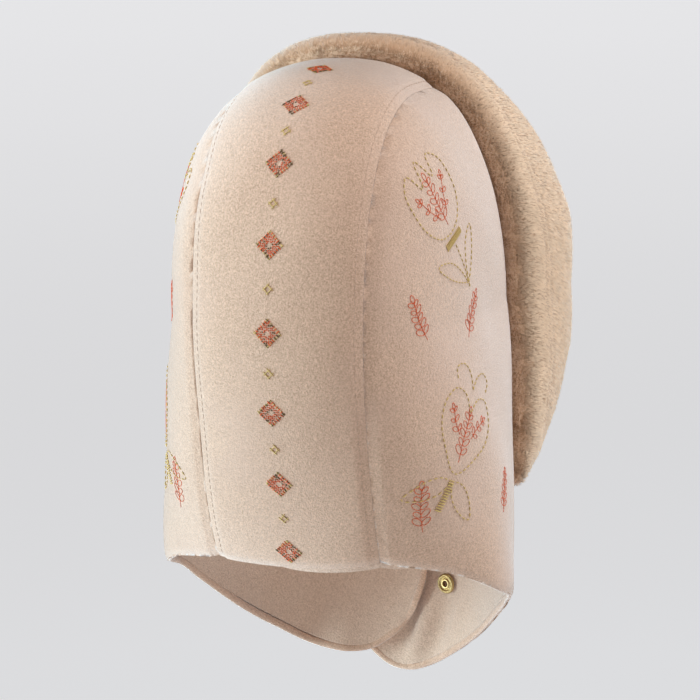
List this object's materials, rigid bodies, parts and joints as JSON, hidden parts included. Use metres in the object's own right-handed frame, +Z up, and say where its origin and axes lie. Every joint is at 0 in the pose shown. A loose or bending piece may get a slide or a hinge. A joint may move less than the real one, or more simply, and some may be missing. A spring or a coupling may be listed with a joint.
{
  "type": "bonnet",
  "caption": "Felt bonnet with a long centre panel, side panels ending in lapped chin flaps, a padded plush band round the face and ring snaps.",
  "frame": {"origin": "the inside top of the crown on the middle plane, where the head carries the bonnet", "axes": "+Z up through the crown; the face looks along -Y; the wearer's right is at -X"},
  "size_m": [0.1822, 0.1916, 0.3412],
  "materials": {
    "felt": "pale peach brushed wool felt, matt",
    "plush": "tan short-pile plush, matt",
    "lining_cloth": "cream plain cloth, matt",
    "snap_metal": "dull gold-coloured metal"
  },
  "bodies": {
    "root": {"centre_panel": "felt", "left_side_panel": "felt", "right_side_panel": "felt", "fur_band": "plush", "lining": "lining_cloth", "spare_snap_ring": "snap_metal", "hidden_snap": "snap_metal"}
  },
  "joints": []
}
